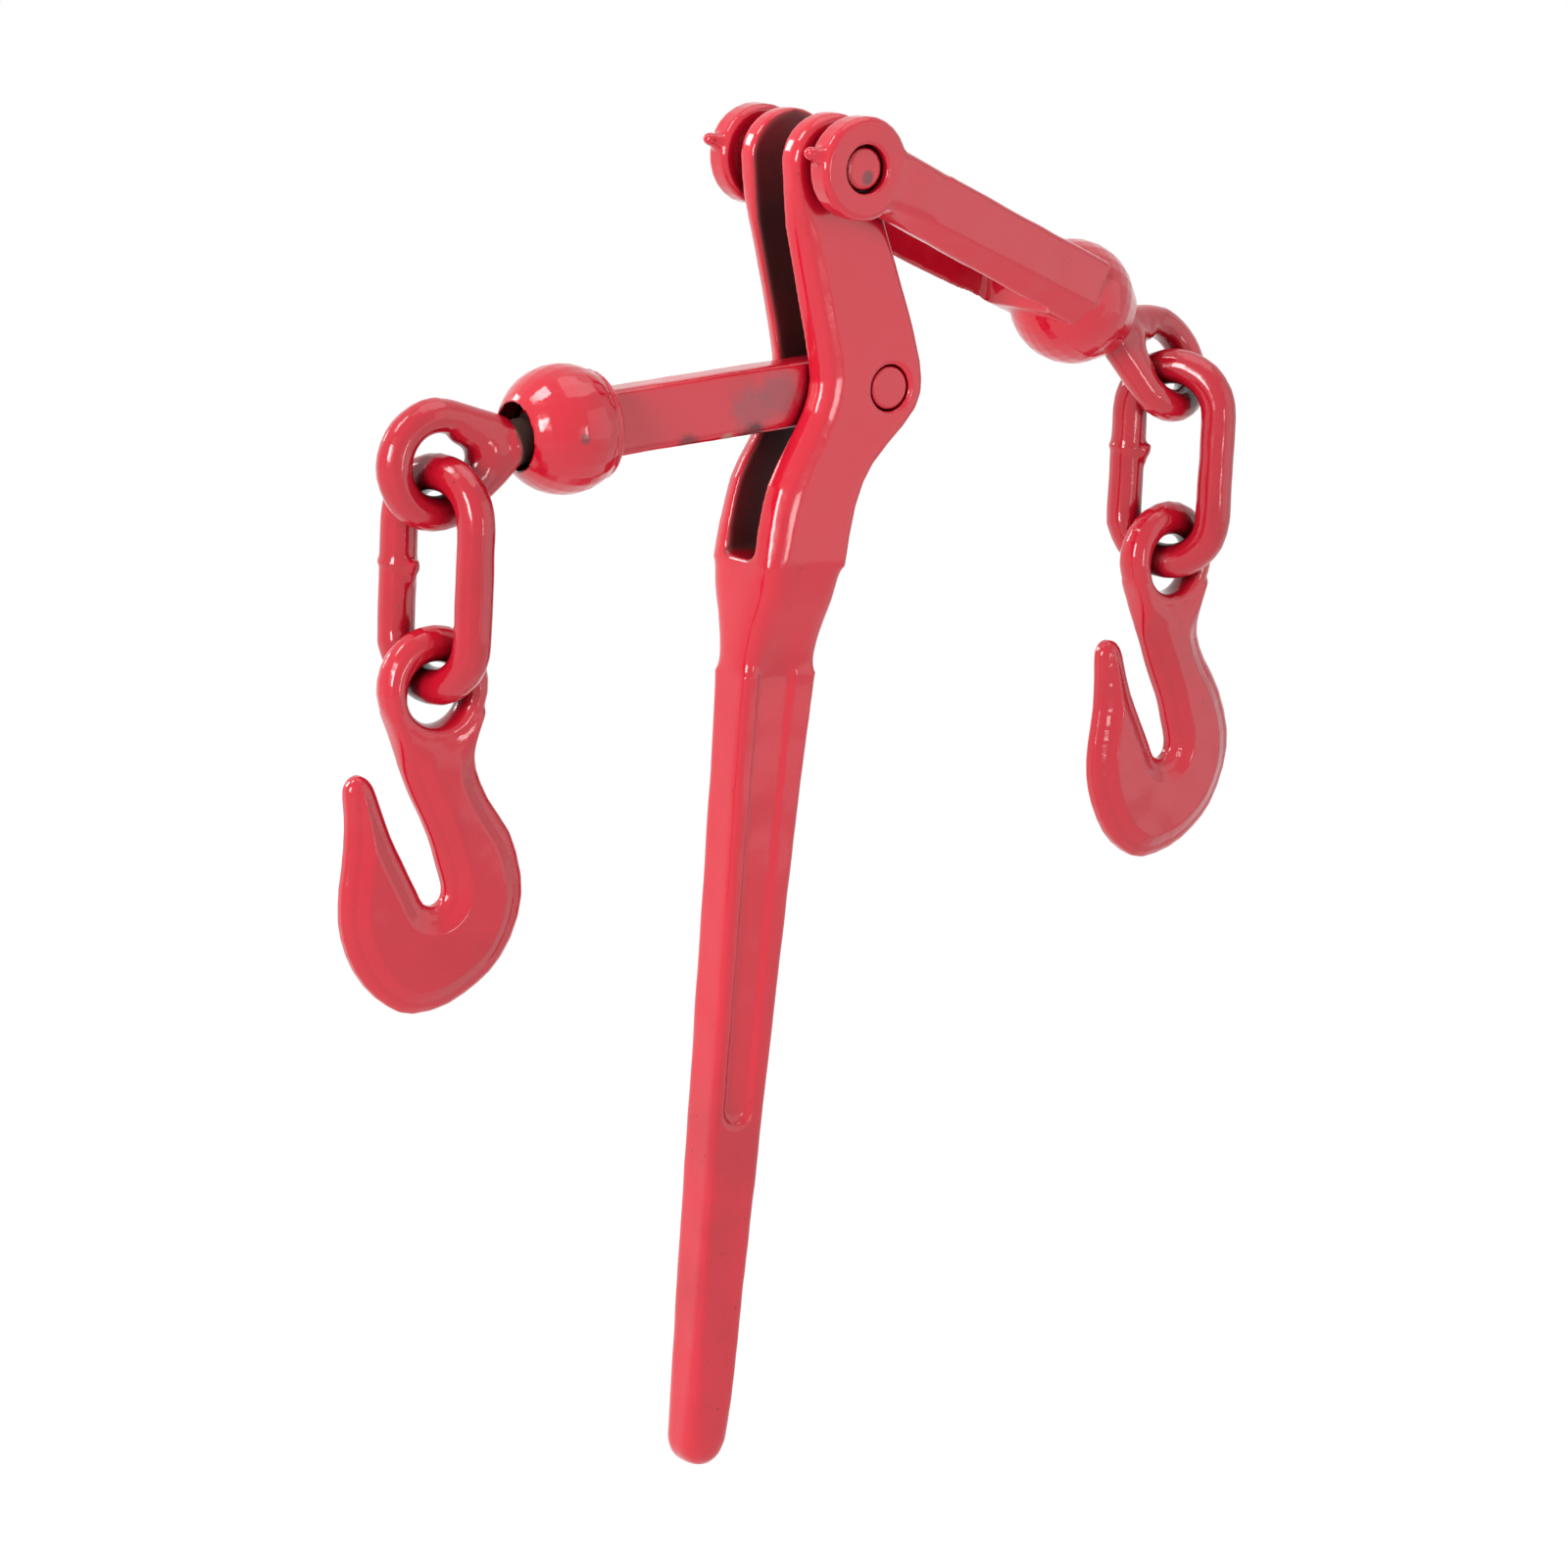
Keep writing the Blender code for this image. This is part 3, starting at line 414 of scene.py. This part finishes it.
linkWelds = dict(
    half=10.8,  # the leg's centre, from the link's own
    wire=4.2,
    heel=dict(centre=(-91.9, 0.0, -85.6), yaw=-73.0),
    yoke=dict(centre=(105.5, -4.3, -67.2), yaw=-57.0),
    # inward share, height, radius, stretch, of the bead on the leg's inner side
    beads=(
        (0.9, -0.6, 1.9, (1, 1.1, 1.1)),
        (1.12, 0.4, 1.2, (1, 1.1, 0.7)),
        (0.9, -2.6, 1.3, (0.8, 1, 1.6)),
    ),
)


def weldLumps(side):
    look = linkWelds[side]

    def fused(shape):
        turn = Matrix.Rotation(math.radians(look["yaw"]), 4, "Z")
        leg = Vector(look["centre"]) - turn @ Vector((linkWelds["half"], 0, 0))
        inward = turn @ Vector((linkWelds["wire"], 0, 0))
        lump(shape, leg, linkWelds["wire"] * 1.13, (1, 1, 0.22), turn)
        lump(shape, leg + Vector((0, 0, 0.5)), linkWelds["wire"] * 1.05, (1, 1, 0.45), turn)
        for share, height, radius, stretch in linkWelds["beads"]:
            place = leg + inward * share + Vector((0, 0, height))
            lump(shape, place, radius, stretch, turn)

    return fused


# The swivel eyes' wire thickens where it leaves the shank.

eyeNecks = dict(
    heel=dict(ball=(-61.608, 0.0, -56.966), axis=191.7, twist=0.0),
    yoke=dict(ball=(76.458, 0.0, -32.297), axis=-28.2, twist=-29.0),
    # reach, offset to either side, radius, thickness
    lumps=((18.2, 0.0, 6.0, 0.80), (21.0, 4.2, 4.6, 0.90), (24.0, 6.2, 4.1, 0.95)),
    zone=(13.5, 29),
    rounds=60,
)


def neckLumps(side):
    look = eyeNecks[side]

    def fused(shape):
        turn = (Matrix.Rotation(-math.radians(look["axis"]), 4, "Y")
                @ Matrix.Rotation(math.radians(look["twist"]), 4, "X"))
        for reach, aside, radius, thick in eyeNecks["lumps"]:
            for way in (-1, 1) if aside else (1,):
                place = Vector(look["ball"]) + turn @ Vector((reach, 0, way * aside))
                lump(shape, place, radius, (1, thick, 1), turn)

    return fused


def neckZone(side):  # the stretch of the eye that is smoothed after it is meshed
    look = eyeNecks[side]
    turn = Matrix.Rotation(-math.radians(look["axis"]), 4, "Y")
    away = turn @ Vector((1, 0, 0))
    ball = Vector(look["ball"]) * mm
    near, far = eyeNecks["zone"]
    return lambda place: near * mm < (place - ball).dot(away) < far * mm


# The hooks' flat faces fall away to a thinner rim.

hookForging = dict(
    half=4.2,
    rimHalf=1.9,
    fall=4.4,
    spread=1.0,
    eyeDrop=9.0,
    fade=9.0,
    neckFrom=15,
    neckTo=3,
    neckRounds=25,
    # the eye's hole, and the hook's turn about the plumb line
    holes=dict(
        heel=((-91.917, 0.0, -112.299), -4.0),
        yoke=((105.532, -4.34, -93.775), 4.0),
    ),
)


def hookNeck(side):
    height = hookForging["holes"][side][0][2] * mm
    low, high = height - hookForging["neckFrom"] * mm, height - hookForging["neckTo"] * mm
    return lambda place: low < place.z < high


def hookFaces(mesh, side, look):
    hole, yaw = look["holes"][side]
    hole = Vector(hole) * mm
    across = Vector((-math.sin(math.radians(yaw)), math.cos(math.radians(yaw)), 0))
    rim = []
    for vertex in mesh.vertices:
        out = (vertex.co - hole).dot(across)
        if abs(out) < 0.5 * mm:
            rim.append(vertex.co - across * out)
    tree = kdtree.KDTree(len(rim))
    for index, place in enumerate(rim):
        tree.insert(place, index)
    tree.balance()

    def change(place, normal):
        out = (place - hole).dot(across)
        below = hole.z - place.z
        share = smoothly(below, look["eyeDrop"] * mm, (look["eyeDrop"] + look["fade"]) * mm)
        if share == 0:
            return place
        flat = place - across * out
        inward = min(tree.find(flat)[2] / (look["fall"] * mm), 1.0)
        plain = normal - across * normal.dot(across)
        if plain.length > 0.3:
            flat += plain.normalized() * look["spread"] * mm * share * (1 - inward)
        level = (look["rimHalf"] + (look["half"] - look["rimHalf"]) * inward) / look["half"]
        return flat + across * out * (1 + share * (level - 1))

    moved(mesh, change)


markings = {
    # place, radius, soft edge, shade, strength, extra roughness
    "heel_bar": (
        ((-8.0, -4.6, -50.5), 0.5, 9.0, bareLook["scuff"], 0.6, 0.25),
        ((-15.0, -4.6, -53.5), 0.5, 9.5, bareLook["scuff"], 0.55, 0.25),
        ((-21.0, -4.6, -60.6), 0.5, 3.0, bareLook["primer"], 0.8, 0.45),
        # two very dark marks along the bar's bottom edge, near the lever
        ((-14.0, -4.6, -60.0), 1.0, 5.0, bareLook["darkEdge"], 0.85, 0.20),
        ((-31.0, -4.6, -61.6), 1.0, 4.5, bareLook["darkEdge"], 0.7, 0.20),
        ((-64.4, -13.9, -57.2), 0.3, 1.8, bareLook["smudge"], 0.7, 0.25),
    ),
    "heel_swivel_eye": (((-71.6, 0.0, -59.1), 5.6, 1.4, bareLook["steel"], 1.0, 0.45),),
    "yoke_swivel_eye": (((86.6, 0.0, -37.7), 5.2, 1.6, bareLook["steel"], 1.0, 0.45),),
    "lever_handle": (((0.8, -21.4, -1.9), 0.5, 2.2, bareLook["smudge"], 0.8, 0.25),),
}

forgings = {
    # node: body, shaded tone (the red's scale: painted shade darkens the swivel eyes, links and hooks,
    # and painted light brightens the lever a little), grain, softness, depth and size of the waviness,
    # what fuses with it
    "lever_handle": ("lever", 1.02, 0.54 * mm, 5, 0.14 * mm, 9 * mm, leverLumps),
    "heel_bar": ("heel_arm", 0.96, 0.38 * mm, 6, 0.14 * mm, 8 * mm, None),
    "clevis_yoke": ("yoke", 0.98, 0.38 * mm, 4, 0.16 * mm, 8 * mm, yokeLumps),
    "heel_swivel_eye": ("heel_swivel", 0.82, 0.32 * mm, 18, 0.12 * mm, 6 * mm, neckLumps("heel")),
    "yoke_swivel_eye": ("yoke_swivel", 0.88, 0.32 * mm, 18, 0.12 * mm, 6 * mm, neckLumps("yoke")),
    "heel_chain_link": ("heel_link", 0.80, 0.34 * mm, 26, 0.14 * mm, 6 * mm, weldLumps("heel")),
    "yoke_chain_link": ("yoke_link", 0.80, 0.34 * mm, 26, 0.14 * mm, 6 * mm, weldLumps("yoke")),
    "heel_grab_hook": ("heel_hook", 0.90, 0.34 * mm, 12, 0.18 * mm, 8 * mm, None),
    "yoke_grab_hook": ("yoke_hook", 0.90, 0.34 * mm, 12, 0.18 * mm, 8 * mm, None),
    "main_pivot_pin": ("lever", 0.98, 0.28 * mm, 3, 0.04 * mm, 4 * mm, None),
}
for count, (node, (body, shadedTone, grain, softness, depth, size, fused)) in enumerate(forgings.items()):
    mesh = forging(node, grain, softness, fused)
    side = node.split("_")[0]
    if node == "lever_handle":
        softened(mesh, neckBlend, leverNeck["rounds"])
    if node == "clevis_yoke":
        softened(mesh, earBlend, yokeForging["blendRounds"])
    if node.endswith("swivel_eye"):
        softened(mesh, neckZone(side), eyeNecks["rounds"])
    if node.endswith("grab_hook"):
        hookFaces(mesh, side, hookForging)
        softened(mesh, hookNeck(side), hookForging["neckRounds"])
    hammered(mesh, depth, size, 11.0 * count)
    slotShade = leverSlot if node == "lever_handle" else {}
    marks = markings.get(node, ())
    enamel = redEnamel(node + "_enamel", enamelLook, marks, shadedTone, **slotShade)
    finished(node + "_painted", mesh, body, node, enamel)
    print(node, len(mesh.polygons), "faces")


# Studio

camera = dict(
    azimuth=-36.0,
    elevation=11.13,
    roll=2.68,
    distance=1.081,
    aim=(-0.02477, -0.03627, -0.13048),
    lens=115.27,
)


def makeCamera(look):
    eye = bpy.data.objects.new("camera", bpy.data.cameras.new("camera"))
    studio.objects.link(eye)
    turn = (Matrix.Rotation(math.radians(look["azimuth"]), 4, "Z")
            @ Matrix.Rotation(math.radians(90 - look["elevation"]), 4, "X")
            @ Matrix.Rotation(math.radians(look["roll"]), 4, "Z"))
    back = turn @ Vector((0, 0, look["distance"]))
    eye.matrix_world = Matrix.Translation(Vector(look["aim"]) + back) @ turn
    eye.data.lens = look["lens"]
    eye.data.sensor_width = 36
    eye.data.clip_start = 0.05
    eye.data.clip_end = 50
    scene.camera = eye


lamps = {
    # name: place, aimed at, width, height, watts
    "windowLeft": ((-1.5, -0.65, 0.28), (0, 0, -0.1), 0.45, 0.7, 17),
    "windowBack": ((-0.86, 1.43, 0.56), (0, 0, -0.08), 0.35, 0.45, 7),
    "windowHigh": ((-1.0, 0.2, 1.4), (0, 0, -0.1), 0.6, 0.6, 12),
    "windowFront": ((0.28, -1.9, -0.1), (0, 0, -0.06), 0.24, 0.4, 2.5),
    "panelRight": ((1.2, -1.3, 0.1), (0, 0, -0.15), 1.4, 1.8, 5),
    "overhead": ((0.3, -0.2, 1.5), (0, 0, -0.1), 1.2, 1.2, 6),
}


def makeLamps():
    for name, (place, target, width, height, watts) in lamps.items():
        lamp = bpy.data.lights.new(name, "AREA")
        lamp.shape = "RECTANGLE"
        lamp.size = width
        lamp.size_y = height
        lamp.energy = watts
        holder = bpy.data.objects.new(name, lamp)
        studio.objects.link(holder)
        holder.location = place
        aim = Vector(target) - Vector(place)
        holder.rotation_euler = aim.to_track_quat("-Z", "Y").to_euler()


room = dict(
    floorDrop=0.25,
    floorRadius=6,
    floorShade=(0.86, 0.86, 0.86, 1),
    floorGlow=1.12,
    floorSeen=0.9,
    white=(1, 1, 1, 1),
    ambient=0.38,
    backdrop=1.0,
)


def makeFloor(look):
    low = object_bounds()[0]
    shape = bmesh.new()
    bmesh.ops.create_circle(shape, cap_ends=True, segments=64, radius=look["floorRadius"])
    mesh = bpy.data.meshes.new("floor")
    shape.to_mesh(mesh)
    shape.free()
    mesh.transform(Matrix.Translation((0, 0, low.z - look["floorDrop"])))
    floor = bpy.data.objects.new("floor", mesh)
    studio.objects.link(floor)
    floor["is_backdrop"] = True
    # White to the camera and in reflections, plain to the light.
    s = Shader("paleFloor")
    rays = s.tree.nodes.new("ShaderNodeLightPath").outputs
    seen = Wire(s, rays["Is Camera Ray"]).top(Wire(s, rays["Is Glossy Ray"]))
    seen = seen.top(Wire(s, rays["Is Transmission Ray"]))
    matt = s.node("ShaderNodeBsdfDiffuse", {}, {"Color": look["floorShade"]})
    glow = s.node("ShaderNodeEmission", {}, {"Color": look["white"], "Strength": look["floorGlow"]})
    both = s.node("ShaderNodeMixShader", {}, {0: seen * look["floorSeen"], 1: matt, 2: glow})
    s.tree.links.new(both.socket, s.output.inputs["Surface"])
    mesh.materials.append(s.material)


def makeWorld(look):  # white where it is seen, dimmer as a light
    world = bpy.data.worlds.new("softRoom")
    scene.world = world
    world.use_nodes = True
    tree = world.node_tree
    tree.nodes.clear()
    out = tree.nodes.new("ShaderNodeOutputWorld")
    back = tree.nodes.new("ShaderNodeBackground")
    rays = tree.nodes.new("ShaderNodeLightPath").outputs
    seen = rays["Is Camera Ray"]
    for kind in ("Is Transmission Ray", "Is Glossy Ray"):
        either = tree.nodes.new("ShaderNodeMath")
        either.operation = "MAXIMUM"
        tree.links.new(seen, either.inputs[0])
        tree.links.new(rays[kind], either.inputs[1])
        seen = either.outputs[0]
    level = tree.nodes.new("ShaderNodeMapRange")
    level.inputs["To Min"].default_value = look["ambient"]
    level.inputs["To Max"].default_value = look["backdrop"]
    tree.links.new(seen, level.inputs["Value"])
    back.inputs["Color"].default_value = look["white"]
    tree.links.new(level.outputs[0], back.inputs["Strength"])
    tree.links.new(back.outputs[0], out.inputs["Surface"])


makeCamera(camera)
makeLamps()
makeFloor(room)
makeWorld(room)
print("studio made")
